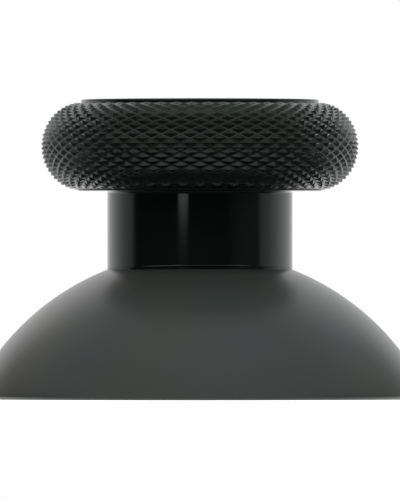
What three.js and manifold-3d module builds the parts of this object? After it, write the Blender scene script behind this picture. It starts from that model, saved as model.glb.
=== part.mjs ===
// Thumb grip of a game controller's analogue stick, moulded as one piece: a knurled rim round a shallow
// finger dish, a round neck, and a hollow dome that covers the joystick's gimbal. Under the dome a boss with
// a two-flat socket pushes onto the joystick's shaft, and four webs brace the boss against the dome.
// Millimetres, +Z up. The origin is the centre of the dome's flat base ring.

import * as THREE from "three";
import { mergeVertices } from "three/addons/utils/BufferGeometryUtils.js";
import Module from "manifold-3d";

// Dome: a spherical shell about the joystick's pivot, which lies below the base
const domeRadius = 12.74;
const pivotDrop = 5.34;
const domeWall = 1.0;
const baseEdgeRadius = 0.14;

// Neck, with a fine moulded seam at its foot
const neckDiameter = 9.32;
const neckLength = 3.97;
const neckFillet = 0.14;
const seamHeight = 0.16;
const seamDepth = 0.06;

// Knurled band: half an ellipse in section, covered with raised diamonds by two crossing sets of grooves,
// which run out over a few rows at its edges
const gripDiameter = 16.0;
const bandHeight = 4.4;
const diamondsRound = 50;
const diamondHalfPitch = 0.239;
const diamondHeight = 0.13;
const runOutRows = 4;

// Disc that carries the band: a smooth land below it, a lip above it and a dish for the finger
const landDrop = 0.03;
const landOverlap = 0.07;
const lipDiameter = 12.0;
const lipHeight = 0.16;
const lipWidth = 0.34;
const lipCornerRadius = 0.09;
const lipLedge = 0.05;
const dishDepth = 1.1;

// Boss and socket for the joystick's shaft
const socketDiameter = 4.1;
const socketAcrossFlats = 3.1;
const socketDepth = 6.0;
const socketLeadIn = 0.25;
const bossWall = 1.15;
const bossDraft = 0.2;
const bossRecess = 1.0;
const bossFlare = 0.3;

// Webs between the boss and the dome, with their lower edge rising outwards
const webCount = 4;
const webThickness = 0.8;
const webSetback = 0.6;
const webRimRecess = 3.4;

// Fineness of the round surfaces
const bodySegments = 60;
const cavitySegments = 40;
const bossSegments = 40;
const overcut = 1.0;

const wasm = await Module();
wasm.setup();

// Height of a sphere about the pivot at a distance from the axis.
const sphereHeightAt = (radius, distance) => Math.sqrt(radius ** 2 - distance ** 2) - pivotDrop;

// Radius of a sphere about the pivot where it crosses a height.
const sphereRadiusAt = (radius, height) => Math.sqrt(radius ** 2 - (height + pivotDrop) ** 2);

const neckRadius = neckDiameter / 2;
const neckFootHeight = sphereHeightAt(domeRadius, neckRadius);
const landHeight = neckFootHeight + neckLength;
const bandCentreHeight = landHeight + landDrop + bandHeight / 2;
const bandInnerRadius = lipDiameter / 2 + lipLedge;
const bandBulge = gripDiameter / 2 - bandInnerRadius;
const lipTopHeight = bandCentreHeight + bandHeight / 2 + lipHeight;
const cavityRadius = domeRadius - domeWall;
const wallMiddleRadius = domeRadius - domeWall / 2;
const bossRadius = socketDiameter / 2 + bossWall;

// A closed three.js geometry as a solid for joining and cutting.
function solidOf(geometry) {
  const bare = geometry.clone();
  bare.deleteAttribute("normal");
  bare.deleteAttribute("uv");
  const merged = mergeVertices(bare, 1e-4);
  const mesh = new wasm.Mesh({
    numProp: 3,
    vertProperties: merged.attributes.position.array,
    triVerts: new Uint32Array(merged.index.array),
  });
  return new wasm.Manifold(mesh);
}

// A solid back as a three.js geometry.
function geometryOf(solid) {
  const mesh = solid.getMesh();
  const geometry = new THREE.BufferGeometry();
  geometry.setAttribute("position", new THREE.BufferAttribute(mesh.vertProperties, 3));
  geometry.setIndex(new THREE.BufferAttribute(mesh.triVerts, 1));
  geometry.computeVertexNormals();
  return geometry;
}

// A profile of (radius, height) points turned about the Z axis.
function turned(points, segments) {
  const lathe = new THREE.LatheGeometry(points, segments);
  lathe.rotateX(Math.PI / 2);
  return solidOf(lathe);
}

// Points on a circular arc in the (radius, height) plane, angles in radians from the outward direction.
function arc(centreR, centreZ, radius, from, to, steps) {
  const points = [];
  for (let i = 0; i <= steps; i += 1) {
    const angle = from + ((to - from) * i) / steps;
    points.push(new THREE.Vector2(centreR + radius * Math.cos(angle), centreZ + radius * Math.sin(angle)));
  }
  return points;
}

// The dome's outside, from its rounded base edge up to the foot of the neck.
function domeProfile() {
  const edgeCentreR = sphereRadiusAt(domeRadius - baseEdgeRadius, baseEdgeRadius);
  const touchAngle = Math.atan2(baseEdgeRadius + pivotDrop, edgeCentreR);
  const footAngle = Math.acos(neckRadius / domeRadius);
  return [
    ...arc(edgeCentreR, baseEdgeRadius, baseEdgeRadius, -Math.PI / 2, touchAngle, 3),
    ...arc(0, -pivotDrop, domeRadius, touchAngle, footAngle, 7).slice(1),
  ];
}

// The neck, with the fine seam at its foot and a fillet under the grip.
function neckProfile() {
  const seamTop = neckFootHeight + seamHeight;
  const seamRadius = neckRadius - seamDepth;
  return [
    new THREE.Vector2(seamRadius, neckFootHeight),
    new THREE.Vector2(seamRadius, seamTop - seamDepth),
    new THREE.Vector2(neckRadius, seamTop),
    ...arc(neckRadius + neckFillet, landHeight - neckFillet, neckFillet, Math.PI, Math.PI / 2, 3),
  ];
}

// The disc inside the knurled band, its lip and the dish for the finger.
function discProfile() {
  const landRadius = bandInnerRadius + landOverlap;
  const lipRadius = lipDiameter / 2;
  const cornerHeight = lipTopHeight - lipCornerRadius;
  const dishRimRadius = lipRadius - lipWidth;
  const dishRadius = (dishRimRadius ** 2 + dishDepth ** 2) / (2 * dishDepth);
  const dishCentreHeight = cornerHeight - dishDepth + dishRadius;
  const dishRimAngle = Math.asin(dishRimRadius / dishRadius) - Math.PI / 2;
  const quarter = Math.PI / 2;
  return [
    new THREE.Vector2(landRadius, landHeight),
    new THREE.Vector2(landRadius, bandCentreHeight),
    new THREE.Vector2(lipRadius, bandCentreHeight),
    ...arc(lipRadius - lipCornerRadius, cornerHeight, lipCornerRadius, 0, quarter, 2),
    ...arc(dishRimRadius + lipCornerRadius, cornerHeight, lipCornerRadius, quarter, Math.PI, 2),
    ...arc(0, dishCentreHeight, dishRadius, dishRimAngle, -quarter, 6).slice(1),
  ];
}

// Everything but the knurled band, still solid inside.
function turnedBody() {
  const baseCentre = new THREE.Vector2(0, 0);
  return turned([baseCentre, ...domeProfile(), ...neckProfile(), ...discProfile()], bodySegments);
}

// The knurled band as a ring. Its rows of points run along the section at equal steps, and in each row peaks
// and groove crossings take turns, so the grooves run diagonally both ways and leave four-sided diamonds.
function knurledBand() {
  const quarter = Math.PI / 2;
  const halfHeight = bandHeight / 2;
  const section = new THREE.EllipseCurve(0, 0, bandBulge, halfHeight, -quarter, quarter);
  const rows = Math.round(section.getLength() / diamondHalfPitch);
  const columns = 2 * diamondsRound;
  const positions = [];
  const addPoint = (radius, height, column) => {
    const angle = (column / columns) * 2 * Math.PI;
    positions.push(radius * Math.cos(angle), radius * Math.sin(angle), height);
  };

  for (let row = 0; row <= rows; row += 1) {
    const point = section.getPointAt(row / rows);
    const outward = new THREE.Vector2(point.x / bandBulge ** 2, point.y / halfHeight ** 2).normalize();
    const rowsFromEdge = Math.min(row, rows - row) + 1;
    const grooveDepth = diamondHeight * Math.min(1, rowsFromEdge / (runOutRows + 1));
    for (let column = 0; column < columns; column += 1) {
      const isPeak = row > 0 && row < rows && (row + column) % 2 === 0;
      const sunk = isPeak ? 0 : grooveDepth;
      const radius = bandInnerRadius + point.x - outward.x * sunk;
      const height = bandCentreHeight + point.y - outward.y * sunk;
      addPoint(radius, height, column);
    }
  }

  // The ring's inner wall, buried in the disc right under the lip
  const wallRadius = (lipDiameter - lipWidth) / 2;
  const wallHalfHeight = halfHeight - diamondHeight / (runOutRows + 1);
  for (const height of [bandCentreHeight + wallHalfHeight, bandCentreHeight - wallHalfHeight]) {
    for (let column = 0; column < columns; column += 1) addPoint(wallRadius, height, column);
  }

  const triangles = [];
  const rowCount = rows + 3;
  for (let row = 0; row < rowCount; row += 1) {
    for (let column = 0; column < columns; column += 1) {
      const nextColumn = (column + 1) % columns;
      const nextRow = (row + 1) % rowCount;
      const a = row * columns + column;
      const b = row * columns + nextColumn;
      const c = nextRow * columns + nextColumn;
      const d = nextRow * columns + column;
      const splitsAtA = (row + column) % 2 === 1;
      triangles.push(...(splitsAtA ? [a, b, c, a, c, d] : [a, b, d, b, c, d]));
    }
  }
  const geometry = new THREE.BufferGeometry();
  geometry.setAttribute("position", new THREE.Float32BufferAttribute(positions, 3));
  geometry.setIndex(triangles);
  return solidOf(geometry);
}

// The space under the dome, carried on below the base.
function domeCavity() {
  const mouthAngle = Math.asin((pivotDrop - overcut) / cavityRadius);
  const mouthCentre = new THREE.Vector2(0, -overcut);
  const ceiling = arc(0, -pivotDrop, cavityRadius, mouthAngle, Math.PI / 2, 9);
  return turned([mouthCentre, ...ceiling], cavitySegments);
}

// The round boss, from its flat end up into the dome's wall. It is a little wider at its root and flares out
// where it meets the ceiling.
function boss() {
  const rootRadius = bossRadius + bossDraft;
  const flareFoot = sphereHeightAt(cavityRadius, rootRadius + bossFlare) - bossFlare;
  const flareTop = sphereHeightAt(wallMiddleRadius, rootRadius);
  const profile = [
    new THREE.Vector2(0, bossRecess),
    new THREE.Vector2(bossRadius, bossRecess),
    new THREE.Vector2(rootRadius, flareFoot),
    new THREE.Vector2(rootRadius + flareTop - flareFoot, flareTop),
    new THREE.Vector2(0, flareTop),
  ];
  return turned(profile, bossSegments);
}

// One web, from inside the boss's wall to the middle of the dome's.
function web(angle) {
  const innerRadius = socketDiameter / 2 + bossWall / 2;
  const outerRadius = sphereRadiusAt(wallMiddleRadius, webRimRecess);
  const outline = new THREE.Shape();
  outline.moveTo(innerRadius, bossRecess + webSetback);
  outline.lineTo(bossRadius, bossRecess + webSetback);
  outline.lineTo(outerRadius, webRimRecess);
  const rimAngle = Math.acos(outerRadius / wallMiddleRadius);
  const bossAngle = Math.acos(innerRadius / wallMiddleRadius);
  outline.absarc(0, -pivotDrop, wallMiddleRadius, rimAngle, bossAngle, false);
  outline.closePath();
  const settings = { depth: webThickness, bevelEnabled: false, curveSegments: 6 };
  const plate = new THREE.ExtrudeGeometry(outline, settings);
  plate.translate(0, 0, -webThickness / 2);
  plate.rotateX(Math.PI / 2);
  plate.rotateZ(angle);
  return solidOf(plate);
}

// A bar with the socket's outline, a circle with two flats, that starts below the boss's end. A bevel makes
// it wider between its ends, so a bar that stops at the mouth leaves a chamfered lead-in.
function socketBar(length, bevel) {
  const radius = socketDiameter / 2;
  const cornerAngle = Math.asin(socketAcrossFlats / socketDiameter);
  const outline = new THREE.Shape();
  outline.absarc(0, 0, radius, -cornerAngle, cornerAngle, false);
  outline.absarc(0, 0, radius, Math.PI - cornerAngle, Math.PI + cornerAngle, false);
  outline.closePath();
  const settings = {
    depth: length + overcut,
    bevelEnabled: bevel > 0,
    bevelThickness: bevel,
    bevelSize: bevel,
    bevelSegments: 1,
    curveSegments: 10,
  };
  const bar = new THREE.ExtrudeGeometry(outline, settings);
  bar.translate(0, 0, bossRecess - overcut);
  return solidOf(bar);
}

function thumbGrip() {
  let solid = turnedBody().add(knurledBand()).subtract(domeCavity()).add(boss());
  for (let i = 0; i < webCount; i += 1) {
    solid = solid.add(web(((i + 0.5) * 2 * Math.PI) / webCount));
  }
  return solid.subtract(socketBar(socketDepth, 0)).subtract(socketBar(0, socketLeadIn));
}

const blackPlastic = new THREE.MeshStandardMaterial({ color: 0x1b1f1e, roughness: 0.45, metalness: 0 });

const thumbGripMesh = new THREE.Mesh(geometryOf(thumbGrip()), blackPlastic);
thumbGripMesh.name = "thumb_grip";

const part = new THREE.Group();
part.add(thumbGripMesh);

export default part;
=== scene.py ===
from math import acos, asin, atan2, cos, pi, radians, sin, sqrt

import bmesh
import bpy
from bpy.props import FloatProperty, FloatVectorProperty, IntProperty, PointerProperty
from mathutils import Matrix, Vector


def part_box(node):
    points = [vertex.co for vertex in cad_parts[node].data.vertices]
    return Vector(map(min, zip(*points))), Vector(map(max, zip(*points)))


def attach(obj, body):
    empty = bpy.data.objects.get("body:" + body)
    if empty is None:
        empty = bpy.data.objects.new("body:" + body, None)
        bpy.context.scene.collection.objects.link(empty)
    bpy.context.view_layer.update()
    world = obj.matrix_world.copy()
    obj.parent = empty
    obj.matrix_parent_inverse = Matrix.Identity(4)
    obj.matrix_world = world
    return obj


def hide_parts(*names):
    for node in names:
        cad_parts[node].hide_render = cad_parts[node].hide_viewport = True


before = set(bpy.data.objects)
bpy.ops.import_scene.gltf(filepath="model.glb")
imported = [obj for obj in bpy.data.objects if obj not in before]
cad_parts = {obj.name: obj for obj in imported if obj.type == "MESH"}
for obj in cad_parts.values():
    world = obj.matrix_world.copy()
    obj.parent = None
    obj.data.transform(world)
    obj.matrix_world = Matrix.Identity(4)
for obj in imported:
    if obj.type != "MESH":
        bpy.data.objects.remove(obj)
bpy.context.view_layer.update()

bl_info = {
    "name": "Knurled Thumb Grip",
    "version": (1, 0, 0),
    "blender": (4, 5, 0),
    "location": "View3D > Sidebar > Thumb Grip",
    "description": "Models a one-piece thumb grip with a diamond-knurled rim, its finishes and a plain studio",
    "category": "Add Mesh",
}

NODE = "thumb_grip"
PIECE = "thumb_grip_moulding"
base_low, base_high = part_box(NODE)

# Vertices this near to each other are joined, while a body is made and once it is finished
WELD_DISTANCE, FINAL_WELD_DISTANCE = 1e-6, 2e-7
CUT_DISTANCE = 1e-7

# Steps in the arcs of the turned section
BOSS_EDGE_STEPS, CORNER_STEPS, FILLET_STEPS, DISH_STEPS, DOME_STEPS = 4, 6, 8, 24, 36
SECTION_SAMPLES = 2000  # points on the band's section from which the rows are picked

# The seam's groove fades as the cosine of its angle from the front or the back falls over this span
SEAM_FADE_END, SEAM_FADE_SPAN = 0.64, 0.14
SEAM_TURN = radians(6)  # how far the seam's wave is turned from the front

# The finishes' places in the list of materials, and the vertex attribute that colours the knurl and places the
# painted highlight in its grooves
DOME, NECK, KNURL, DISH, INSIDE = range(5)
CREST = "crest"
# The grooves' paler tone is a painted highlight: it stands in for the light lines along the grooves.
GROOVE_HIGHLIGHT_REACH = 0.12  # how far up a diamond the groove's tone reaches
FLAT_DOWN = -0.99  # a face whose normal points down more than this is the base ring

GRAIN_SCALE, CLOUD_SCALE = 9000, 180

FLOOR_DROP = 0.00002  # gap that keeps the floor and the base ring apart
FLOOR_WHITE = 0.8
FLOOR_NEAR = (0.0118, 0.0128)  # reach from the axis over which the floor turns dark to reflections
FLOOR_BACK = (0.0, 0.03)  # distance behind the axis over which it turns pale again

# The surround as the grip sees it: where each light rises from none to full, as a part of the direction
# backward, forward, up, down or to the right
RISE = {
    "backdrop edge": (-0.18, 0.01),
    "backdrop depth": (-0.02, 0.75),
    "above level": (0.08, 0.35),
    "aside": (0.12, 0.42),
    "behind": (0.05, 0.70),
    "high": (0.50, 0.72),
    "high behind": (0.25, 0.60),
    "front foot": (0.15, 0.29),
    "front head": (0.58, 0.78),
    "in front": (0.15, 0.45),
    "overhead": (0.30, 0.60),
    "overhead in front": (0.15, 0.60),
    "below": (0.94, 0.99),
    "right": (0.50, 0.85),
}
SURROUND_TURN = 0.1  # how much the surround's back leans to the right
ASIDE_LOSS, FRONT_LOSS = 0.8, 0.15  # light lost toward the sides behind, and toward the front overhead


def length(name, description, default):
    """A property for a size in metres, shown to a thousandth of a millimetre."""
    return FloatProperty(name=name, description=description, default=default, min=0, precision=6, unit="LENGTH")


def colour(name, description, default):
    """A property for a surface colour."""
    return FloatVectorProperty(
        name=name, description=description, default=default, min=0, max=1, size=3, subtype="COLOR"
    )


def factor(name, description, default):
    """A property for a share between 0 and 1."""
    return FloatProperty(name=name, description=description, default=default, min=0, max=1, subtype="FACTOR")


class BodySizes(bpy.types.PropertyGroup):
    """Sizes of the dome, the neck and the disc, which are turned together."""

    dome_radius: length("Dome radius", "Outer radius of the dome, about the joystick's pivot", 0.01274)
    pivot_drop: length("Pivot drop", "How far the pivot lies below the base", 0.00534)
    dome_wall: length("Dome wall", "Thickness of the dome's shell", 0.001)
    base_edge: length("Base edge", "Radius of the rounded edge at the dome's base", 0.00014)
    neck_diameter: length("Neck diameter", "Diameter of the polished neck", 0.00932)
    neck_length: length("Neck length", "From the neck's foot to the land under the rim", 0.00397)
    neck_fillet: length("Neck fillet", "Radius between the neck and the land", 0.00014)
    seam_rise: length("Seam rise", "Mean height of the moulded seam above the neck's foot", 0.00013)
    seam_depth: length("Seam depth", "Depth of the groove under the seam", 0.00006)
    seam_wave: length("Seam wave", "How far the seam wanders up and down round the neck", 0.00007)
    lip_diameter: length("Lip diameter", "Outer diameter of the lip round the dish", 0.012)
    lip_height: length("Lip height", "How far the lip stands above the knurled band", 0.00016)
    lip_width: length("Lip width", "Width of the lip", 0.00034)
    lip_corner: length("Lip corner", "Radius on the lip's two edges", 0.00009)
    dish_depth: length("Dish depth", "Depth of the finger dish", 0.0011)
    steps: IntProperty(name="Steps", description="Steps in one turn of the body", default=200, min=24)


class KnurlSizes(bpy.types.PropertyGroup):
    """Sizes of the band and of its raised diamonds."""

    grip_diameter: length("Grip diameter", "Diameter of the rim across its diamonds", 0.016)
    band_height: length("Band height", "Height of the knurled band", 0.0044)
    land_drop: length("Land drop", "How far the land lies below the band", 0.00003)
    land_overlap: length("Land overlap", "How far the land reaches out under the band", 0.00007)
    lip_ledge: length("Lip ledge", "Ledge between the lip and the band", 0.00005)
    diamonds_round: IntProperty(name="Diamonds", description="Diamonds in one turn", default=50, min=8)
    half_pitch: length("Half pitch", "Distance along the section from row to row", 0.000239)
    diamond_height: length("Diamond height", "How far a diamond stands above its grooves", 0.00015)
    groove_width: length("Groove width", "Width of the flat at the bottom of a groove", 0.00006)
    run_out: IntProperty(name="Run-out", description="Rows over which the grooves fade at the edges", default=4)
    crest_width: length("Crest width", "Width of the worn bevel on a diamond's ridges", 0.000013)


class SocketSizes(bpy.types.PropertyGroup):
    """Sizes of what is hidden under the dome."""

    socket_diameter: length("Socket diameter", "Diameter of the socket's round sides", 0.0041)
    across_flats: length("Across flats", "Distance between the socket's two flats", 0.0031)
    socket_depth: length("Socket depth", "Depth of the socket", 0.006)
    lead_in: length("Lead-in", "Width of the wider mouth of the socket", 0.00025)
    boss_wall: length("Boss wall", "Thickness of the boss round the socket", 0.00115)
    boss_draft: length("Boss draft", "How much wider the boss is at its root", 0.0002)
    boss_recess: length("Boss recess", "How far the boss ends above the base", 0.001)
    boss_fillet: length("Boss fillet", "Radius where the boss meets the dome", 0.0003)
    web_count: IntProperty(name="Webs", description="Webs between the boss and the dome", default=4, min=0)
    web_thickness: length("Web thickness", "Thickness of a web", 0.0008)
    web_setback: length("Web setback", "How far a web starts above the boss's end", 0.0006)
    web_rim_recess: length("Web rim recess", "How far a web ends above the base at the dome", 0.0034)


class Finishes(bpy.types.PropertyGroup):
    """Colours and gloss of the plastic where it is textured, polished, knurled or left as moulded."""

    dome_colour: colour("Dome colour", "The satin dome", (0.045, 0.0475, 0.0405))
    dome_tint: colour("Dome tint", "The tone that clouds the dome", (0.0365, 0.0455, 0.0455))
    dome_roughness: factor("Dome roughness", "Roughness of the dome", 0.45)
    dome_coat: factor("Dome coat", "Share of the dome's smoother skin over the satin", 0.85)
    dome_gloss: factor("Dome gloss", "Specular level of the dome", 0.1)
    dome_coat_roughness: factor("Dome coat roughness", "Roughness of the dome's smoother skin", 0.31)
    neck_colour: colour("Neck colour", "The polished neck", (0.0028, 0.0062, 0.0047))
    neck_roughness: factor("Neck roughness", "Roughness of the neck", 0.10)
    knurl_colour: colour("Knurl colour", "The diamonds", (0.005, 0.0085, 0.006))
    # Paler than the diamonds: a painted highlight along the grooves.
    groove_highlight_colour: colour("Groove colour", "The grooves between the diamonds", (0.010, 0.0145, 0.011))
    knurl_roughness: factor("Knurl roughness", "Roughness of the diamonds", 0.26)
    knurl_gloss: factor("Knurl gloss", "Specular level of the diamonds", 0.5)
    gloss_tint: colour("Gloss tint", "Tone of the gloss seen square on", (0.87, 1.0, 0.94))
    dish_colour: colour("Dish colour", "The finger dish", (0.024, 0.028, 0.025))
    inside_colour: colour("Inside colour", "The space under the dome", (0.030, 0.034, 0.031))


class StudioSettings(bpy.types.PropertyGroup):
    """Camera, light and floor."""

    pixel_size: length("Pixel size", "Size of one pixel of the picture at the grip's axis", 0.0000503)
    axis_column: FloatProperty(name="Axis column", description="Pixel column of the grip's axis", default=199.9)
    base_row: FloatProperty(name="Base row", description="Pixel row of the dome's base", default=399.2)
    eye_row: FloatProperty(name="Eye row", description="Pixel row level with the eye", default=304.8)
    lens: FloatProperty(name="Lens", description="Focal length in millimetres", default=1350.0, min=10)
    floor_size: length("Floor size", "Width of the floor", 0.3)
    floor_bounce: factor("Floor bounce", "Tone of the floor in the light that it throws back", 0.08)
    floor_glow: factor("Floor glow", "Light of its own that brings the floor up to white", 0.9)
    backdrop_light: factor("Backdrop light", "Strength of the surround right behind the grip", 1.0)
    backdrop_edge: factor("Backdrop edge", "Strength of the surround at its two ends, beside the grip", 0.45)
    front_light: factor("Front light", "Strength of the band of light in front", 0.85)
    top_light: factor("Top light", "Strength of the surround overhead", 0.46)
    high_light: factor("High light", "Strength of the surround high behind the grip", 0.85)
    table_light: factor("Table light", "Strength of the surround straight below", 1.0)
    dim_light: factor("Dim light", "Strength of the dim surround level with the grip in front", 0.035)
    glint_light: FloatProperty(name="Glint light", description="Brightness of the glint lamp", default=1.3, min=0)
    glint_width: length("Glint width", "Width of the glint lamp", 0.0135)
    glint_height: length("Glint height", "Height of the glint lamp", 0.0022)
    glint_foot: length("Glint foot", "Height of the glint lamp's lower end", 0.0095)
    glint_distance: length("Glint distance", "Distance of the glint lamp from the axis", 0.06)
    glint_azimuth: FloatProperty(name="Glint azimuth", description="Degrees left of the camera", default=20)
    soft_light: FloatProperty(name="Soft light", description="Brightness of the soft lamp", default=2.8, min=0)
    soft_size: length("Soft size", "Width of the soft lamp", 0.2)
    soft_distance: length("Soft distance", "Distance of the soft lamp from the grip", 0.22)
    soft_elevation: FloatProperty(name="Soft elevation", description="Degrees above the floor", default=66)
    soft_azimuth: FloatProperty(name="Soft azimuth", description="Degrees left of the camera", default=-8)


def leave_clean():
    """Leaves edit mode and deselects every object, since an operator acts on all that is selected."""
    if bpy.context.object and bpy.context.object.mode != "OBJECT":
        bpy.ops.object.mode_set(mode="OBJECT")
    bpy.ops.object.select_all(action="DESELECT")


def pick(piece):
    """Makes one object the only one selected."""
    leave_clean()
    piece.select_set(True)
    bpy.context.view_layer.objects.active = piece


def edit_all(piece):
    """Opens a piece in edit mode, in vertex mode and with everything selected."""
    pick(piece)
    bpy.ops.object.mode_set(mode="EDIT")
    bpy.ops.mesh.select_mode(type="VERT")
    bpy.ops.mesh.select_all(action="SELECT")


def cut_with_plane(place, outward, keep_both=False):
    """Cuts the piece in edit mode with a plane and closes it, without what lies on the outward side."""
    bpy.ops.mesh.select_all(action="SELECT")
    bpy.ops.mesh.bisect(
        plane_co=place, plane_no=outward, use_fill=not keep_both, clear_outer=not keep_both, threshold=CUT_DISTANCE
    )


def select_in_edit_mode(piece, kind, chosen):
    """Selects the vertices, edges or faces of a piece that the chosen function accepts."""
    bpy.ops.mesh.select_all(action="DESELECT")
    mesh = bmesh.from_edit_mesh(piece.data)
    parts = {"VERT": mesh.verts, "EDGE": mesh.edges, "FACE": mesh.faces}[kind]
    mesh.select_mode = {kind}
    bpy.context.tool_settings.mesh_select_mode = (kind == "VERT", kind == "EDGE", kind == "FACE")
    for part in parts:
        part.select_set(chosen(part))
    mesh.select_flush_mode()
    bmesh.update_edit_mesh(piece.data)


def apply_modifier(piece, kind, **settings):
    """Adds a modifier to a piece and applies it."""
    pick(piece)
    modifier = piece.modifiers.new(kind.title(), kind)
    for name, value in settings.items():
        setattr(modifier, name, value)
    bpy.ops.object.modifier_apply(modifier=modifier.name)


def combine(piece, tool, operation):
    """Joins a second solid to a piece or cuts it away, and removes the second one."""
    before = len(piece.data.vertices)
    apply_modifier(piece, "BOOLEAN", object=tool, operation=operation, solver="MANIFOLD")
    if len(piece.data.vertices) == before:
        raise RuntimeError(f"{tool.name} couldn't be combined with {piece.name}")
    bpy.data.objects.remove(tool)


def arc(centre_r, centre_z, radius, start, end, steps):
    """Points on a circular arc in the (radius, height) plane, angles from the outward direction."""
    angles = [start + (end - start) * i / steps for i in range(steps + 1)]
    return [(centre_r + radius * cos(a), centre_z + radius * sin(a)) for a in angles]


def spun(name, profile, steps):
    """A profile from axis to axis, drawn by extruding one vertex and spun about the Z axis."""
    leave_clean()
    bpy.ops.mesh.primitive_plane_add(size=0.001, location=(profile[0][0], 0, profile[0][1]))
    piece = bpy.context.object
    piece.name = name
    edit_all(piece)
    bpy.ops.mesh.merge(type="CENTER")
    for (from_r, from_z), (to_r, to_z) in zip(profile, profile[1:]):
        move = (to_r - from_r, 0, to_z - from_z)
        bpy.ops.mesh.extrude_vertices_move(TRANSFORM_OT_translate={"value": move})
    bpy.ops.mesh.select_all(action="SELECT")
    bpy.ops.mesh.spin(steps=steps, angle=2 * pi, center=(0, 0, 0), axis=(0, 0, 1))
    bpy.ops.mesh.select_all(action="SELECT")
    bpy.ops.mesh.remove_doubles(threshold=WELD_DISTANCE)
    bpy.ops.mesh.normals_make_consistent(inside=False)
    bpy.ops.object.mode_set(mode="OBJECT")
    bpy.ops.object.transform_apply(location=True, rotation=True, scale=True)
    return piece


def measures():
    """Heights and radii that several parts of the grip share, worked out from its sizes."""
    body = bpy.context.scene.thumb_body
    knurl = bpy.context.scene.thumb_knurl
    socket = bpy.context.scene.thumb_socket
    neck_radius = body.neck_diameter / 2
    neck_foot = sqrt(body.dome_radius**2 - neck_radius**2) - body.pivot_drop
    land = neck_foot + body.neck_length
    band_inner = body.lip_diameter / 2 + knurl.lip_ledge
    band_centre = land + knurl.land_drop + knurl.band_height / 2
    return {
        "neck_radius": neck_radius,
        "neck_foot": neck_foot,
        "land": land,
        "band_inner": band_inner,
        "band_bulge": knurl.grip_diameter / 2 - band_inner,
        "band_centre": band_centre,
        "lip_top": band_centre + knurl.band_height / 2 + body.lip_height,
        "cavity_radius": body.dome_radius - body.dome_wall,
        "wall_middle": body.dome_radius - body.dome_wall / 2,
        "boss_radius": socket.socket_diameter / 2 + socket.boss_wall,
    }


def underside_profile(body, socket, sizes):
    """The boss from its flat end up to a fillet at its root, and the cavity's ceiling down to the base."""
    end, edge, fillet = sizes["boss_radius"], body.lip_corner, socket.boss_fillet
    fillet_r = end + socket.boss_draft + fillet
    fillet_z = sqrt((sizes["cavity_radius"] - fillet) ** 2 - fillet_r**2) - body.pivot_drop
    ceiling_angle = atan2(fillet_z + body.pivot_drop, fillet_r)
    mouth_angle = asin(body.pivot_drop / sizes["cavity_radius"])
    return [
        (0, socket.boss_recess),
        (end - 2 * edge, socket.boss_recess),
        *arc(end - edge, socket.boss_recess + edge, edge, -pi / 2, 0, BOSS_EDGE_STEPS),
        *arc(fillet_r, fillet_z, fillet, pi, ceiling_angle, FILLET_STEPS),
        *arc(0, -body.pivot_drop, sizes["cavity_radius"], ceiling_angle, mouth_angle, DOME_STEPS)[1:],
    ]


def dome_profile(body, sizes):
    """The rounded base edge and the dome's outside up to the neck's foot."""
    edge_centre = base_high.x - body.base_edge
    touch_angle = atan2(body.base_edge + body.pivot_drop, edge_centre)
    foot_angle = acos(sizes["neck_radius"] / body.dome_radius)
    return [
        (edge_centre - body.base_edge / 2, 0),
        *arc(edge_centre, body.base_edge, body.base_edge, -pi / 2, touch_angle, FILLET_STEPS),
        *arc(0, -body.pivot_drop, body.dome_radius, touch_angle, foot_angle, DOME_STEPS)[1:],
    ]


def neck_profile(body, sizes):
    """The neck, with a groove and a fine raised seam at its foot and a fillet under the rim."""
    radius, foot, land = sizes["neck_radius"], sizes["neck_foot"], sizes["land"]
    seam = foot + body.seam_rise
    bead = body.seam_depth / 3
    return [
        (radius - body.seam_depth, foot + body.seam_depth / 3),
        (radius - body.seam_depth, seam - bead),
        (radius + bead / 2, seam - bead / 2),
        (radius + bead / 2, seam),
        (radius, seam + 1.8 * bead),
        (radius, seam + 4 * bead),
        (radius, land - 1.3 * body.neck_fillet),
        *arc(radius + body.neck_fillet, land - body.neck_fillet, body.neck_fillet, pi, pi / 2, CORNER_STEPS),
        (radius + 1.3 * body.neck_fillet, land),
    ]


def disc_profile(body, knurl, sizes):
    """The disc inside the knurled band, its lip and the finger dish."""
    land_radius = sizes["band_inner"] + knurl.land_overlap
    lip_radius = body.lip_diameter / 2
    corner = body.lip_corner
    corner_height = sizes["lip_top"] - corner
    dish_rim = lip_radius - body.lip_width
    dish_radius = (dish_rim**2 + body.dish_depth**2) / (2 * body.dish_depth)
    dish_centre = corner_height - body.dish_depth + dish_radius
    rim_angle = asin(dish_rim / dish_radius) - pi / 2
    return [
        (land_radius - body.lip_corner, sizes["land"]),
        (land_radius, sizes["land"]),
        (land_radius, sizes["band_centre"]),
        (lip_radius, sizes["band_centre"]),
        *arc(lip_radius - corner, corner_height, corner, 0, pi / 2, CORNER_STEPS),
        *arc(dish_rim + corner, corner_height, corner, pi / 2, pi, CORNER_STEPS),
        *arc(0, dish_centre, dish_radius, rim_angle, -pi / 2, DISH_STEPS)[1:],
    ]


def wave_seam(piece, body, sizes):
    """Lets the seam at the neck's foot rise in front and behind and fade into the corner at the sides."""
    foot = sizes["neck_foot"]
    seam = foot + body.seam_rise
    fade_end = seam + 4 * body.seam_depth
    for vertex in piece.data.vertices:
        radius = vertex.co.xy.length
        on_neck = abs(radius - sizes["neck_radius"]) < 2 * body.seam_depth
        if on_neck and foot + body.seam_depth / 4 < vertex.co.z < fade_end:
            angle = atan2(vertex.co.x, -vertex.co.y)
            if radius < sizes["neck_radius"] - body.seam_depth / 2:
                share = max(0, min(1, (abs(cos(angle)) - SEAM_FADE_END) / SEAM_FADE_SPAN))
                vertex.co.xy *= (sizes["neck_radius"] - body.seam_depth * share) / radius
            share = min(1, (fade_end - vertex.co.z) / (fade_end - seam))
            if vertex.co.z > foot + body.seam_depth / 2:
                vertex.co.z += body.seam_wave * cos(2 * (angle - SEAM_TURN)) * share


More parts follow.
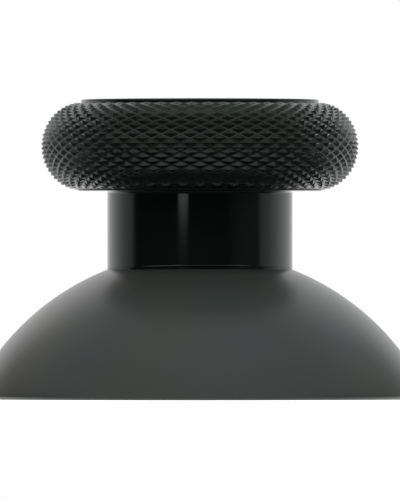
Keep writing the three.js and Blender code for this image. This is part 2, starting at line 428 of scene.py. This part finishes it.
class THUMB_GRIP_OT_turned_body(bpy.types.Operator):
    """Spins the boss, the hollow dome, the neck and the dished disc as one body"""

    bl_idname = "thumb_grip.turned_body"
    bl_label = "Turned Body"

    def execute(self, context):
        scene = context.scene
        body, knurl, socket = scene.thumb_body, scene.thumb_knurl, scene.thumb_socket
        sizes = measures()
        lower = underside_profile(body, socket, sizes) + dome_profile(body, sizes)
        piece = spun(PIECE, lower + neck_profile(body, sizes) + disc_profile(body, knurl, sizes), body.steps)
        wave_seam(piece, body, sizes)
        return {"FINISHED"}


def band_section(knurl, sizes):
    """Points at equal steps along the band's half-elliptical section, each with its partner in the groove."""
    bulge, half = sizes["band_bulge"], knurl.band_height / 2
    fine = [-pi / 2 + pi * i / SECTION_SAMPLES for i in range(SECTION_SAMPLES + 1)]
    points = [(bulge * cos(a), half * sin(a)) for a in fine]
    run = [0.0]
    for (r0, z0), (r1, z1) in zip(points, points[1:]):
        run.append(run[-1] + sqrt((r1 - r0) ** 2 + (z1 - z0) ** 2))
    rows = round(run[-1] / knurl.half_pitch)
    crests, grooves = [], []
    for row in range(rows + 1):
        target = run[-1] * row / rows
        r, z = points[min(range(len(run)), key=lambda i: abs(run[i] - target))]
        outward = Vector((r / bulge**2, z / half**2)).normalized()
        depth = knurl.diamond_height * min(1, (min(row, rows - row) + 1) / (knurl.run_out + 1))
        crest = Vector((sizes["band_inner"] + r, sizes["band_centre"] + z))
        crests.append(crest)
        grooves.append(crest - outward * depth)
    return crests, grooves


def move_ring(from_point, to_point):
    """Scales and lifts the selected ring of points from one place on a section to another."""
    scale = to_point[0] / from_point[0]
    bpy.ops.transform.translate(value=(0, 0, to_point[1] - from_point[1]))
    bpy.ops.transform.resize(value=(scale, scale, 1), center_override=(0, 0, to_point[1]))


class THUMB_GRIP_OT_knurled_band(bpy.types.Operator):
    """Makes the band's ring, cuts its outside into diamonds and raises each one to a point"""

    bl_idname = "thumb_grip.knurled_band"
    bl_label = "Knurled Band"

    def execute(self, context):
        body, knurl = context.scene.thumb_body, context.scene.thumb_knurl
        sizes = measures()
        columns = 2 * knurl.diamonds_round
        crests, grooves = band_section(knurl, sizes)
        last = len(crests) - 1
        wall = (body.lip_diameter - body.lip_width) / 2
        ring = [*grooves, (wall, grooves[-1][1]), (wall, grooves[0][1])]

        leave_clean()
        bpy.ops.mesh.primitive_circle_add(vertices=columns, radius=ring[0][0], location=(0, 0, ring[0][1]))
        band = context.object
        band.name = "knurled_band"
        bpy.ops.object.transform_apply(location=True, rotation=True, scale=True)
        edit_all(band)
        for from_point, to_point in zip(ring, ring[1:] + ring[:1]):
            bpy.ops.mesh.extrude_region_move()
            move_ring(from_point, to_point)
        bpy.ops.mesh.select_all(action="SELECT")
        bpy.ops.mesh.remove_doubles(threshold=WELD_DISTANCE)
        bpy.ops.mesh.normals_make_consistent(inside=False)

        inner_limit = (wall + grooves[0][0]) / 2

        def row_of(vertex):
            place = Vector((vertex.co.xy.length, vertex.co.z))
            return min(range(last + 1), key=lambda i: (grooves[i] - place).length)

        def is_outside(vertex):
            return vertex.co.xy.length > inner_limit

        def is_peak(vertex):
            column = round(atan2(vertex.co.y, vertex.co.x) / (2 * pi) * columns)
            row = row_of(vertex)
            return is_outside(vertex) and 0 < row < last and (row + column) % 2 == 0

        select_in_edit_mode(band, "VERT", lambda vertex: is_outside(vertex) and not is_peak(vertex))
        bpy.ops.mesh.vert_connect()
        select_in_edit_mode(band, "VERT", is_peak)
        bpy.ops.mesh.dissolve_verts()

        def is_diamond(face):
            rows = {row_of(vertex) for vertex in face.verts}
            return len(face.verts) == 4 and len(rows) == 3 and all(is_outside(vertex) for vertex in face.verts)

        select_in_edit_mode(band, "FACE", is_diamond)
        bpy.ops.mesh.inset(thickness=knurl.groove_width / 2, depth=0, use_individual=True)
        bpy.ops.mesh.poke(offset=0, center_mode="MEDIAN")
        for row in range(1, last):
            select_in_edit_mode(band, "VERT", lambda vertex: is_peak(vertex) and row_of(vertex) == row)
            chosen = [v.co for v in bmesh.from_edit_mesh(band.data).verts if v.select]
            level = sum(co.z for co in chosen) / len(chosen)
            reach = sum(co.xy.length for co in chosen) / len(chosen)
            move_ring((reach, level), crests[row])
        select_in_edit_mode(band, "EDGE", lambda edge: any(is_peak(vertex) for vertex in edge.verts))
        bpy.ops.mesh.bevel(offset=knurl.crest_width, segments=2, affect="EDGES")
        bpy.ops.object.mode_set(mode="OBJECT")
        combine(bpy.data.objects[PIECE], band, "UNION")
        return {"FINISHED"}


def web(body, socket, sizes):
    """One web along +X: a block with a sloped lower edge, trimmed to the middle of the dome's wall."""
    inner = socket.socket_diameter / 2 + socket.boss_wall / 2
    outer = sqrt(sizes["wall_middle"] ** 2 - (socket.web_rim_recess + body.pivot_drop) ** 2)
    low, high = socket.boss_recess + socket.web_setback, sizes["neck_foot"]
    leave_clean()
    bpy.ops.mesh.primitive_cube_add(size=1, location=((inner + outer) / 2, 0, (low + high) / 2))
    plate = bpy.context.object
    plate.scale = (outer - inner, socket.web_thickness, high - low)
    bpy.ops.object.transform_apply(location=True, rotation=True, scale=True)
    rise, run = socket.web_rim_recess - low, outer - sizes["boss_radius"]
    edit_all(plate)
    cut_with_plane((sizes["boss_radius"], 0, low), (rise, 0, -run))
    select_in_edit_mode(plate, "EDGE", lambda edge: is_web_lower_edge(edge, outer, socket))
    bpy.ops.mesh.bevel(offset=body.lip_corner, segments=3, affect="EDGES")
    bpy.ops.object.mode_set(mode="OBJECT")
    leave_clean()
    bpy.ops.mesh.primitive_uv_sphere_add(
        segments=96, ring_count=64, radius=sizes["wall_middle"], location=(0, 0, -body.pivot_drop)
    )
    combine(plate, bpy.context.object, "INTERSECT")
    return plate


def is_web_lower_edge(edge, outer, socket):
    """Whether an edge runs along one of the two long lower edges of a web."""
    a, b = (vertex.co for vertex in edge.verts)
    runs_out = abs(a.x - b.x) > outer / 3
    return runs_out and max(a.z, b.z) < socket.web_rim_recess * 1.01


def socket_bar(body, socket):
    """The socket's cutter: a round bar with two flats and a wider lead-in at the boss's end."""
    leave_clean()
    start = socket.boss_recess - body.dome_wall
    height = socket.socket_depth + body.dome_wall
    bpy.ops.mesh.primitive_cylinder_add(
        vertices=96, radius=socket.socket_diameter / 2, depth=height, location=(0, 0, start + height / 2)
    )
    bar = bpy.context.object
    bpy.ops.object.transform_apply(location=True, rotation=True, scale=True)
    edit_all(bar)
    for side in (1, -1):
        cut_with_plane((0, side * socket.across_flats / 2, 0), (0, side, 0))
    mouth = socket.boss_recess
    for height_of_cut in (mouth + socket.lead_in, mouth):
        cut_with_plane((0, 0, height_of_cut), (0, 0, 1), keep_both=True)
    select_in_edit_mode(bar, "VERT", lambda vertex: vertex.co.z < mouth + socket.lead_in / 2)
    wider = 2 * socket.lead_in
    scale = (1 + wider / socket.socket_diameter, 1 + wider / socket.across_flats, 1)
    bpy.ops.transform.resize(value=scale, center_override=(0, 0, mouth))
    bpy.ops.mesh.select_all(action="SELECT")
    bpy.ops.mesh.normals_make_consistent(inside=False)
    bpy.ops.object.mode_set(mode="OBJECT")
    return bar


class THUMB_GRIP_OT_webs_and_socket(bpy.types.Operator):
    """Adds the webs between the boss and the dome and cuts the two-flat socket"""

    bl_idname = "thumb_grip.webs_and_socket"
    bl_label = "Webs and Socket"

    def execute(self, context):
        body, socket = context.scene.thumb_body, context.scene.thumb_socket
        sizes = measures()
        piece = bpy.data.objects[PIECE]
        for index in range(socket.web_count):
            plate = web(body, socket, sizes)
            pick(plate)
            plate.rotation_euler.z = (index + 0.5) * 2 * pi / socket.web_count
            bpy.ops.object.transform_apply(location=True, rotation=True, scale=True)
            combine(piece, plate, "UNION")
        combine(piece, socket_bar(body, socket), "DIFFERENCE")
        return {"FINISHED"}


def new_material(name):
    """An empty node material with its output and shader."""
    material = bpy.data.materials.new(name)
    material.use_nodes = True
    nodes = material.node_tree.nodes
    nodes.clear()
    output = nodes.new("ShaderNodeOutputMaterial")
    shader = nodes.new("ShaderNodeBsdfPrincipled")
    material.node_tree.links.new(shader.outputs["BSDF"], output.inputs["Surface"])
    return material, shader


def grain_group():
    """Node group: fine moulded grain and broad clouding over a surface, from Object coordinates."""
    name = "Moulded Grain"
    if name in bpy.data.node_groups:
        return bpy.data.node_groups[name]
    group = bpy.data.node_groups.new(name, "ShaderNodeTree")
    sockets = group.interface
    scale = sockets.new_socket("Grain Scale", in_out="INPUT", socket_type="NodeSocketFloat")
    scale.default_value = GRAIN_SCALE
    cloud = sockets.new_socket("Cloud Scale", in_out="INPUT", socket_type="NodeSocketFloat")
    cloud.default_value = CLOUD_SCALE
    sockets.new_socket("Height", in_out="OUTPUT", socket_type="NodeSocketFloat")
    sockets.new_socket("Clouding", in_out="OUTPUT", socket_type="NodeSocketFloat")
    nodes, links = group.nodes, group.links
    inputs = nodes.new("NodeGroupInput")
    outputs = nodes.new("NodeGroupOutput")
    place = nodes.new("ShaderNodeTexCoord")
    grain = nodes.new("ShaderNodeTexNoise")
    grain.inputs["Detail"].default_value = 3
    clouds = nodes.new("ShaderNodeTexNoise")
    clouds.inputs["Detail"].default_value = 4
    clouds.inputs["Distortion"].default_value = 0.4
    spread = nodes.new("ShaderNodeMapRange")
    spread.interpolation_type = "SMOOTHSTEP"
    spread.inputs["From Min"].default_value = 0.32
    spread.inputs["From Max"].default_value = 0.68
    links.new(place.outputs["Object"], grain.inputs["Vector"])
    links.new(place.outputs["Object"], clouds.inputs["Vector"])
    links.new(inputs.outputs["Grain Scale"], grain.inputs["Scale"])
    links.new(inputs.outputs["Cloud Scale"], clouds.inputs["Scale"])
    links.new(clouds.outputs["Fac"], spread.inputs["Value"])
    links.new(grain.outputs["Fac"], outputs.inputs["Height"])
    links.new(spread.outputs["Result"], outputs.inputs["Clouding"])
    return group


def two_tones(base, lift=1.3):
    """A colour and the paler one that clouds it."""
    return base, [tone * lift for tone in base]


def add_grain(
    material, shader, colours, roughness, grain_depth, grain_scale=GRAIN_SCALE, cloud_scale=CLOUD_SCALE
):
    """Gives a material the shared grain: two clouded tones, a clouded roughness and a fine bump."""
    nodes, links = material.node_tree.nodes, material.node_tree.links
    grain = nodes.new("ShaderNodeGroup")
    grain.node_tree = grain_group()
    grain.inputs["Grain Scale"].default_value = grain_scale
    grain.inputs["Cloud Scale"].default_value = cloud_scale
    tone = nodes.new("ShaderNodeMix")
    tone.data_type = "RGBA"
    tone.inputs["A"].default_value = (*colours[0], 1)
    tone.inputs["B"].default_value = (*colours[1], 1)
    gloss = nodes.new("ShaderNodeMapRange")
    gloss.inputs["To Min"].default_value = roughness[0]
    gloss.inputs["To Max"].default_value = roughness[1]
    bump = nodes.new("ShaderNodeBump")
    bump.inputs["Strength"].default_value = 1.0
    bump.inputs["Distance"].default_value = grain_depth
    links.new(grain.outputs["Clouding"], tone.inputs["Factor"])
    links.new(grain.outputs["Clouding"], gloss.inputs["Value"])
    links.new(grain.outputs["Height"], bump.inputs["Height"])
    links.new(tone.outputs["Result"], shader.inputs["Base Color"])
    links.new(gloss.outputs["Result"], shader.inputs["Roughness"])
    links.new(bump.outputs["Normal"], shader.inputs["Normal"])
    return tone


def satin_dome(finish):
    """Satin, spark-eroded plastic of the dome's outside."""
    material, shader = new_material("satin_dome")
    colours = (finish.dome_colour, finish.dome_tint)
    rough = (finish.dome_roughness - 0.03, finish.dome_roughness + 0.04)
    add_grain(material, shader, colours, rough, grain_depth=0.000002, cloud_scale=110)
    shader.inputs["Specular IOR Level"].default_value = finish.dome_gloss
    shader.inputs["Coat Weight"].default_value = finish.dome_coat
    shader.inputs["Coat Roughness"].default_value = finish.dome_coat_roughness
    shader.inputs["Specular Tint"].default_value = (*finish.gloss_tint, 1)
    return material


def polished_neck(finish):
    """Polished plastic of the neck."""
    material, shader = new_material("polished_neck")
    colours = two_tones(finish.neck_colour)
    rough = (finish.neck_roughness - 0.01, finish.neck_roughness + 0.02)
    add_grain(material, shader, colours, rough, grain_depth=0.0000002, grain_scale=4000, cloud_scale=260)
    shader.inputs["Specular Tint"].default_value = (*finish.gloss_tint, 1)
    return material


def knurled_plastic(finish):
    """Dark, glossy plastic of the diamonds, with a painted highlight that makes the grooves a little paler."""
    material, shader = new_material("knurled_plastic")
    colours = two_tones(finish.knurl_colour, 1.5)
    rough = (finish.knurl_roughness - 0.05, finish.knurl_roughness + 0.05)
    tone = add_grain(
        material, shader, colours, rough, grain_depth=0.000002, grain_scale=12000, cloud_scale=220
    )
    nodes, links = material.node_tree.nodes, material.node_tree.links
    crest = nodes.new("ShaderNodeAttribute")
    crest.attribute_name = CREST
    rise = nodes.new("ShaderNodeMapRange")
    rise.inputs["From Max"].default_value = GROOVE_HIGHLIGHT_REACH
    # Painted highlight: the grooves get the paler groove colour, which fades out a little way up each diamond.
    groove = nodes.new("ShaderNodeMix")
    groove.data_type = "RGBA"
    groove.inputs["A"].default_value = (*finish.groove_highlight_colour, 1)
    links.new(crest.outputs["Fac"], rise.inputs["Value"])
    links.new(rise.outputs["Result"], groove.inputs["Factor"])
    links.new(tone.outputs["Result"], groove.inputs["B"])
    links.new(groove.outputs["Result"], shader.inputs["Base Color"])
    shader.inputs["Specular IOR Level"].default_value = finish.knurl_gloss
    shader.inputs["Specular Tint"].default_value = (*finish.gloss_tint, 1)
    return material


def smooth_dish(finish):
    """Fine satin plastic of the dish, the lip and the land."""
    material, shader = new_material("smooth_dish")
    colours = two_tones(finish.dish_colour)
    add_grain(material, shader, colours, (0.30, 0.38), grain_depth=0.000001)
    return material


def moulded_inside(finish):
    """Plain moulded plastic under the dome."""
    material, shader = new_material("moulded_inside")
    colours = two_tones(finish.inside_colour)
    add_grain(material, shader, colours, (0.42, 0.52), grain_depth=0.000003, grain_scale=6000)
    return material


def finish_of(centre, normal, sizes, body, knurl):
    """The finish on a face: dome, neck (and lip), knurl, dish (and land) or inside."""
    radius = centre.xy.length
    from_pivot = sqrt(radius**2 + (centre.z + body.pivot_drop) ** 2)
    slack = body.base_edge
    touch = slack / 10
    band_top = sizes["lip_top"] - body.lip_height
    if centre.z > sizes["land"] - touch:
        if radius > body.lip_diameter / 2 - body.lip_corner and centre.z > band_top + body.lip_height / 20:
            return NECK
        on_band = radius > sizes["band_inner"] - slack and centre.z < band_top
        above_land = centre.z > sizes["land"] + knurl.land_drop + knurl.diamond_height / 2
        return KNURL if on_band and above_land else DISH
    if radius > sizes["neck_radius"] - body.seam_depth * 1.5 and centre.z > sizes["neck_foot"] - touch:
        return NECK
    if from_pivot > body.dome_radius - slack or normal.z < FLAT_DOWN and centre.z < slack:
        return DOME
    return INSIDE


class THUMB_GRIP_OT_finish(bpy.types.Operator):
    """Cleans and shades the moulding, gives each zone its finish and puts it in the frame"""

    bl_idname = "thumb_grip.finish"
    bl_label = "Finishes"

    def execute(self, context):
        body, knurl = context.scene.thumb_body, context.scene.thumb_knurl
        sizes = measures()
        piece = bpy.data.objects[PIECE]
        edit_all(piece)
        bpy.ops.mesh.remove_doubles(threshold=FINAL_WELD_DISTANCE)
        bpy.ops.object.mode_set(mode="OBJECT")
        piece.data.materials.clear()
        finishes = context.scene.thumb_finishes
        for make in (satin_dome, polished_neck, knurled_plastic, smooth_dish, moulded_inside):
            piece.data.materials.append(make(finishes))
        for face in piece.data.polygons:
            face.material_index = finish_of(face.center, face.normal, sizes, body, knurl)
        mark_crests(piece, knurl, sizes)
        bpy.ops.object.shade_smooth_by_angle(angle=radians(20))
        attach(piece, "root")
        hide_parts(NODE)
        return {"FINISHED"}


def mark_crests(piece, knurl, sizes):
    """Stores how high each point of the band stands, from 0 in a groove to 1 on a diamond's point, which places
    the painted highlight in the grooves.
    """
    crest = piece.data.attributes.new(CREST, "FLOAT", "POINT")
    bulge, half = sizes["band_bulge"], knurl.band_height / 2
    for index, vertex in enumerate(piece.data.vertices):
        r = vertex.co.xy.length - sizes["band_inner"]
        z = vertex.co.z - sizes["band_centre"]
        level = sqrt((r / bulge) ** 2 + (z / half) ** 2) if r > 0 else 0
        depth = (1 - level) * half
        crest.data[index].value = max(0.0, min(1.0, 1 - depth / knurl.diamond_height))


def ramp(tree, value, low, high, top=1.0, smooth=True):
    """A smooth or straight rise from 0 to a top value as a value goes from low to high."""
    step = tree.nodes.new("ShaderNodeMapRange")
    step.interpolation_type = "SMOOTHSTEP" if smooth else "LINEAR"
    step.inputs["From Min"].default_value = low
    step.inputs["From Max"].default_value = high
    step.inputs["To Max"].default_value = top
    tree.links.new(value, step.inputs["Value"])
    return step.outputs["Result"]


def reckon(tree, operation, first, second, clamp=False):
    """A Math node with two inputs, each a socket or a number."""
    node = tree.nodes.new("ShaderNodeMath")
    node.operation = operation
    node.use_clamp = clamp
    for socket, value in zip(node.inputs, (first, second)):
        if isinstance(value, (int, float)):
            socket.default_value = value
        else:
            tree.links.new(value, socket)
    return node.outputs["Value"]


def backdrop_share(tree, behind):
    """1 for a camera ray, and for a glossy or transmitted ray as far as it goes to the backdrop."""
    rays = tree.nodes.new("ShaderNodeLightPath")
    bent = reckon(tree, "ADD", rays.outputs["Is Glossy Ray"], rays.outputs["Is Transmission Ray"])
    away = reckon(tree, "MULTIPLY", bent, behind)
    return reckon(tree, "ADD", rays.outputs["Is Camera Ray"], away, clamp=True)


def pale_floor_material(studio):
    """A pale floor that shows white and keeps the grip's shadow. It can't be seen from below."""
    material = bpy.data.materials.new("pale_floor")
    material.use_nodes = True
    tree = material.node_tree
    tree.nodes.clear()
    output = tree.nodes.new("ShaderNodeOutputMaterial")
    place = tree.nodes.new("ShaderNodeTexCoord")
    parts = tree.nodes.new("ShaderNodeSeparateXYZ")
    tree.links.new(place.outputs["Object"], parts.inputs["Vector"])
    reach = tree.nodes.new("ShaderNodeVectorMath")
    reach.operation = "LENGTH"
    tree.links.new(place.outputs["Object"], reach.inputs[0])
    beside = reckon(tree, "SUBTRACT", 1.0, ramp(tree, reach.outputs["Value"], *FLOOR_NEAR))
    back = ramp(tree, parts.outputs["Y"], *FLOOR_BACK)
    seen = backdrop_share(tree, reckon(tree, "MAXIMUM", beside, back))
    tone = tree.nodes.new("ShaderNodeMix")
    tone.data_type = "RGBA"
    tone.inputs["A"].default_value = (studio.floor_bounce, studio.floor_bounce, studio.floor_bounce, 1)
    tone.inputs["B"].default_value = (FLOOR_WHITE, FLOOR_WHITE, FLOOR_WHITE, 1)
    tree.links.new(seen, tone.inputs["Factor"])
    pale = tree.nodes.new("ShaderNodeBsdfDiffuse")
    tree.links.new(tone.outputs["Result"], pale.inputs["Color"])
    glow = tree.nodes.new("ShaderNodeEmission")
    tree.links.new(reckon(tree, "MULTIPLY", seen, studio.floor_glow), glow.inputs["Strength"])
    both = tree.nodes.new("ShaderNodeAddShader")
    tree.links.new(pale.outputs["BSDF"], both.inputs[0])
    tree.links.new(glow.outputs["Emission"], both.inputs[1])
    below = tree.nodes.new("ShaderNodeNewGeometry")
    clear = tree.nodes.new("ShaderNodeBsdfTransparent")
    side = tree.nodes.new("ShaderNodeMixShader")
    tree.links.new(below.outputs["Backfacing"], side.inputs["Fac"])
    tree.links.new(both.outputs["Shader"], side.inputs[1])
    tree.links.new(clear.outputs["BSDF"], side.inputs[2])
    tree.links.new(side.outputs["Shader"], output.inputs["Surface"])
    return material


def pale_surround(studio):
    """World: white to the camera. To the grip it is pale behind, overhead, below and in a band in front."""
    world = bpy.data.worlds.new("pale_surround")
    world.use_nodes = True
    bpy.context.scene.world = world
    tree = world.node_tree
    tree.nodes.clear()
    output = tree.nodes.new("ShaderNodeOutputWorld")
    light = tree.nodes.new("ShaderNodeBackground")
    place = tree.nodes.new("ShaderNodeTexCoord")
    parts = tree.nodes.new("ShaderNodeSeparateXYZ")
    tree.links.new(place.outputs["Generated"], parts.inputs["Vector"])
    sideways, up = parts.outputs["X"], parts.outputs["Z"]
    backward = reckon(tree, "ADD", parts.outputs["Y"], reckon(tree, "MULTIPLY", sideways, SURROUND_TURN))
    forward = reckon(tree, "MULTIPLY", backward, -1.0)
    edge = ramp(tree, backward, *RISE["backdrop edge"], studio.backdrop_edge)
    gain = studio.backdrop_light - studio.backdrop_edge
    depth = ramp(tree, backward, *RISE["backdrop depth"], gain)
    level_share = reckon(tree, "SUBTRACT", 1.0, ramp(tree, up, *RISE["above level"]))
    behind_level = reckon(tree, "MULTIPLY", reckon(tree, "ADD", edge, depth), level_share)
    aside = ramp(tree, reckon(tree, "MULTIPLY", sideways, sideways), *RISE["aside"], ASIDE_LOSS)
    straight_behind = ramp(tree, backward, *RISE["behind"], studio.backdrop_light, smooth=False)
    behind = reckon(tree, "MULTIPLY", straight_behind, reckon(tree, "SUBTRACT", 1.0, aside))
    high = ramp(tree, up, *RISE["high"])
    high_behind = reckon(tree, "MULTIPLY", high, ramp(tree, backward, *RISE["high behind"], studio.high_light))
    front_rise = reckon(tree, "SUBTRACT", ramp(tree, up, *RISE["front foot"]), ramp(tree, up, *RISE["front head"]))
    front = reckon(tree, "MULTIPLY", front_rise, ramp(tree, forward, *RISE["in front"], studio.front_light))
    straight_up = ramp(tree, up, *RISE["overhead"], studio.top_light)
    toward_front = ramp(tree, forward, *RISE["overhead in front"], FRONT_LOSS)
    overhead = reckon(tree, "MULTIPLY", straight_up, reckon(tree, "SUBTRACT", 1.0, toward_front))
    below = ramp(tree, reckon(tree, "MULTIPLY", up, -1.0), *RISE["below"], studio.table_light)
    on_right = ramp(tree, sideways, *RISE["right"], studio.dim_light * 2)
    lit = reckon(tree, "ADD", studio.dim_light, on_right)
    for light_part in (behind_level, behind, high_behind, front, overhead, below):
        lit = reckon(tree, "MAXIMUM", light_part, lit)
    rays = tree.nodes.new("ShaderNodeLightPath")
    tree.links.new(reckon(tree, "MAXIMUM", rays.outputs["Is Camera Ray"], lit), light.inputs["Strength"])
    light.inputs["Color"].default_value = (1, 1, 1, 1)
    tree.links.new(light.outputs["Background"], output.inputs["Surface"])


def area_lamp(name, light, width, height, target, distance, azimuth, elevation):
    """An oval lamp aimed at a target, placed left of the camera and up by angles in degrees."""
    data = bpy.data.lights.new(name, "AREA")
    data.shape = "ELLIPSE"
    data.size, data.size_y = width, height
    data.energy = light * pi * (pi * width * height / 4)
    lamp = bpy.data.objects.new(name, data)
    bpy.context.scene.collection.objects.link(lamp)
    side, rise = radians(azimuth), radians(elevation)
    offset = Vector((-sin(side) * cos(rise), -cos(side) * cos(rise), sin(rise))) * distance
    lamp.location = target + offset
    lamp.rotation_euler = (-offset).to_track_quat("-Z", "Y").to_euler()
    lamp.visible_camera = False
    return lamp


def add_lamps(studio):
    """A soft lamp high in front for the matt light, and a small one on the left for the glint on the neck."""
    middle = Vector((0, 0, (base_low.z + base_high.z) / 2))
    soft = area_lamp(
        "soft_lamp", studio.soft_light, studio.soft_size, studio.soft_size, middle,
        studio.soft_distance, studio.soft_azimuth, studio.soft_elevation,
    )
    soft.visible_glossy = False
    level = Vector((0, 0, studio.glint_foot + studio.glint_height / 2))
    area_lamp(
        "glint_lamp", studio.glint_light, studio.glint_width, studio.glint_height, level,
        studio.glint_distance, studio.glint_azimuth, 0,
    )


def photo_camera(studio):
    """A long lens level with the dome, framed by the pixel places of the base and the axis."""
    width, height = 400, 500
    data = bpy.data.cameras.new("photo_camera")
    data.lens = studio.lens
    data.sensor_width = 36
    camera = bpy.data.objects.new("photo_camera", data)
    bpy.context.scene.collection.objects.link(camera)
    bpy.context.scene.camera = camera
    pixel = studio.pixel_size
    eye_height = (studio.base_row - studio.eye_row) * pixel
    centre_height = (studio.base_row - height / 2) * pixel
    centre_x = (width / 2 - studio.axis_column) * pixel
    distance = height * pixel * data.lens / data.sensor_width
    camera.location = (centre_x, -distance, eye_height)
    camera.rotation_euler = (pi / 2 + atan2(centre_height - eye_height, distance), 0, 0)
    data.clip_start = distance / 100
    data.clip_end = distance * 10


class THUMB_GRIP_OT_studio(bpy.types.Operator):
    """Adds the floor, the pale surround, the lamps and the camera"""

    bl_idname = "thumb_grip.studio"
    bl_label = "Studio"

    def execute(self, context):
        studio = context.scene.thumb_studio
        leave_clean()
        bpy.ops.mesh.primitive_circle_add(
            vertices=96, radius=studio.floor_size / 2, fill_type="NGON", location=(0, 0, base_low.z - FLOOR_DROP)
        )
        floor = context.object
        floor.name = "floor"
        floor.data.materials.append(pale_floor_material(studio))
        floor.visible_diffuse = False
        floor.visible_shadow = False
        pale_surround(studio)
        add_lamps(studio)
        photo_camera(studio)
        context.scene.view_settings.view_transform = "Standard"
        return {"FINISHED"}


class THUMB_GRIP_PT_sidebar(bpy.types.Panel):
    """Sizes, finishes and steps of the thumb grip"""

    bl_label = "Thumb Grip"
    bl_idname = "THUMB_GRIP_PT_sidebar"
    bl_space_type = "VIEW_3D"
    bl_region_type = "UI"
    bl_category = "Thumb Grip"

    def draw(self, context):
        for operator in OPERATORS:
            self.layout.operator(operator.bl_idname)
        for group in GROUPS:
            settings = getattr(context.scene, group)
            box = self.layout.box()
            for name in settings.bl_rna.properties.keys():
                if name not in {"rna_type", "name"}:
                    box.prop(settings, name)


GROUPS = {
    "thumb_body": BodySizes,
    "thumb_knurl": KnurlSizes,
    "thumb_socket": SocketSizes,
    "thumb_finishes": Finishes,
    "thumb_studio": StudioSettings,
}
OPERATORS = (
    THUMB_GRIP_OT_turned_body,
    THUMB_GRIP_OT_knurled_band,
    THUMB_GRIP_OT_webs_and_socket,
    THUMB_GRIP_OT_finish,
    THUMB_GRIP_OT_studio,
)


def register():
    for group in GROUPS.values():
        bpy.utils.register_class(group)
    for name, group in GROUPS.items():
        setattr(bpy.types.Scene, name, PointerProperty(type=group))
    for shown in (*OPERATORS, THUMB_GRIP_PT_sidebar):
        bpy.utils.register_class(shown)


def unregister():
    for shown in (THUMB_GRIP_PT_sidebar, *reversed(OPERATORS)):
        bpy.utils.unregister_class(shown)
    for name in GROUPS:
        delattr(bpy.types.Scene, name)
    for group in reversed(GROUPS.values()):
        bpy.utils.unregister_class(group)


def main():
    register()
    bpy.ops.thumb_grip.turned_body()
    bpy.ops.thumb_grip.knurled_band()
    bpy.ops.thumb_grip.webs_and_socket()
    bpy.ops.thumb_grip.finish()
    bpy.ops.thumb_grip.studio()


if __name__ == "__main__":
    main()
